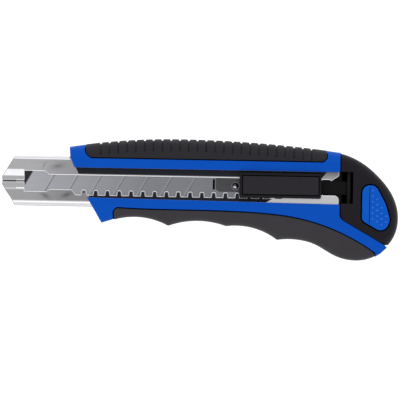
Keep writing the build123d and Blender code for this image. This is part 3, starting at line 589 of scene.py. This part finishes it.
# The lip liners are near-black sheets on the rail's lips inside the handle, standing for the shade
# there.
rounded_piece("lip_liner_upper", "liner", 0.05, segments=2)
rounded_piece("lip_liner_lower", "liner", 0.05, segments=2)
rounded_piece("blade", "blade", 0.03, segments=1)
rounded_piece("blade_carrier", "carrier", 0.08, segments=2)
rounded_piece("clamp_plate", "clamp", 0.12, segments=2)
rounded_piece("blade_stud", "stud", 0.08, segments=2)
rounded_piece("slider_base", "black", 0.15, "black_round_highlight")
rounded_piece("thumb_button", "panel", 0.15, "black_round_highlight")
end_cap = rounded_piece("end_cap", "cap", 0.25, "black_round_highlight")
# painted shade in the cap's recess and on its tongue
paint(end_cap, RECESS, "cap_recess")
paint(end_cap, TONGUE, "cap_tongue")
rounded_piece("pull_bar", "black", 0.20)
cap_button = rounded_piece("cap_button", "button_blue", 0.12, "button_round_highlight")
paint(cap_button, BUTTON_GROOVE, "blue_shade")
rounded_piece("back_cover", "blue", 0.25, "blue_round_highlight")
rounded_piece("magazine_tray", "black", 0.20, "black_round_highlight")
spring_piece("button_springs", "chrome")
spring_piece("cap_button_spring", "chrome")
spring_piece("follower_spring", "carrier")

# The nodes' own meshes, which show for the pieces that nothing replaces.
INSIDE = {
    "black_plastic": "black", "rail_steel": "rail", "blade_steel": "spare_blade",
    "carrier_steel": "carrier", "screw_steel": "chrome", "blue_plastic": "blue", "grip_rubber": "spine",
}
node_slots = {part["node"]: part.get("material_slot") for part in frame["record"]["subparts"]}
for name, node in nodes.items():
    node.data.materials.clear()
    node.data.materials.append(MATERIALS[INSIDE[node_slots[name]]])


# ---- floor, light and camera --------------------------------------------------
def plain_floor():
    """A pale sheet under the knife, which glows a little so that it stays close to white."""
    half = FLOOR_SIZE / 2
    mesh = bpy.data.meshes.new("floor")
    corners = ((-half, -half), (half, -half), (half, half), (-half, half))
    mesh.from_pydata([(x, y, -FLOOR_DROP) for x, y in corners], [], [(0, 1, 2, 3)])
    floor = link("floor", mesh)
    graph = Graph("pale_floor")
    paper = graph.noise(graph.millimetres(), 0.05, 3.0)
    base = graph.mix(paper, (0.38, 0.38, 0.38, 1.0), (0.42, 0.42, 0.42, 1.0))
    graph.wire(Base_Color=base, Roughness=0.9, Specular_IOR_Level=0.0,
               Emission_Color=(1.0, 1.0, 1.0, 1.0), Emission_Strength=FLOOR_GLOW)
    mesh.materials.append(graph.material)


def sky():
    """Light tent: bright at the sides and greyer overhead, with a bright panel to +Y and one to -Y."""
    world = bpy.data.worlds.new("light_tent")
    scene.world = world
    world.use_nodes = True
    tree = world.node_tree
    place = tree.nodes.new("ShaderNodeTexCoord").outputs["Generated"]
    split = tree.nodes.new("ShaderNodeSeparateXYZ")
    ramp = tree.nodes.new("ShaderNodeValToRGB")
    tree.links.new(place, split.inputs[0])
    tree.links.new(split.outputs["Z"], ramp.inputs[0])
    elements = ramp.color_ramp.elements
    while len(elements) < len(SKY_STOPS):
        elements.new(0.5)
    for element, (position, level) in zip(elements, SKY_STOPS):
        element.position = position
        element.color = (level, level, level * SKY_BLUE, 1.0)
    strength = tree.nodes.new("ShaderNodeValue").outputs[0]
    strength.default_value = 1.0
    for tilt, inner, outer, gain in SKY_PANELS:
        lean = math.radians(tilt)
        toward = tree.nodes.new("ShaderNodeVectorMath")
        toward.operation = "DOT_PRODUCT"
        toward.inputs[1].default_value = (0.0, math.sin(lean), math.cos(lean))
        tree.links.new(place, toward.inputs[0])
        panel = tree.nodes.new("ShaderNodeMapRange")
        panel.interpolation_type = "SMOOTHSTEP"
        tree.links.new(toward.outputs["Value"], panel.inputs["Value"])
        panel.inputs["From Min"].default_value = math.cos(math.radians(outer))
        panel.inputs["From Max"].default_value = math.cos(math.radians(inner))
        panel.inputs["To Max"].default_value = gain
        total = tree.nodes.new("ShaderNodeMath")
        tree.links.new(strength, total.inputs[0])
        tree.links.new(panel.outputs[0], total.inputs[1])
        strength = total.outputs[0]
    background = tree.nodes["Background"]
    tree.links.new(ramp.outputs["Color"], background.inputs["Color"])
    tree.links.new(strength, background.inputs["Strength"])


def softbox(name, place, width, height, power):
    """A soft lamp that faces the knife and isn't seen, in the picture or in the steel."""
    light = bpy.data.lights.new(name, "AREA")
    light.shape = "RECTANGLE"
    light.size = width
    light.size_y = height
    light.energy = power
    box = bpy.data.objects.new(name, light)
    box.location = place
    box.rotation_euler = (-Vector(place)).to_track_quat("-Z", "Y").to_euler()
    box.visible_camera = False
    box.visible_glossy = False
    scene.collection.objects.link(box)


def camera():
    """A long lens straight over the knife, turned as the knife lies in the picture."""
    front_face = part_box("body_shell")[1].z
    lens = bpy.data.cameras.new("camera")
    lens.type = "PERSP"
    lens.sensor_width = SENSOR
    lens.lens = SENSOR * CAMERA_HEIGHT / VIEW_WIDTH
    lens.clip_start = 0.01
    lens.clip_end = 40.0
    lens.dof.use_dof = False
    view = bpy.data.objects.new("camera", lens)
    view.location = (*VIEW_CENTRE, front_face + CAMERA_HEIGHT)
    view.rotation_euler = (0.0, 0.0, VIEW_TURN)
    scene.collection.objects.link(view)
    scene.camera = view


plain_floor()
sky()
softbox("key_light", (-0.1, 0.85, 0.95), 1.4, 0.55, 8.0)
softbox("fill_light", (0.1, -0.95, 0.7), 1.2, 0.5, 3.5)
camera()
scene.view_settings.view_transform = "Standard"
scene.view_settings.look = "None"
scene.view_settings.exposure = 0.0
scene.view_settings.gamma = 1.0
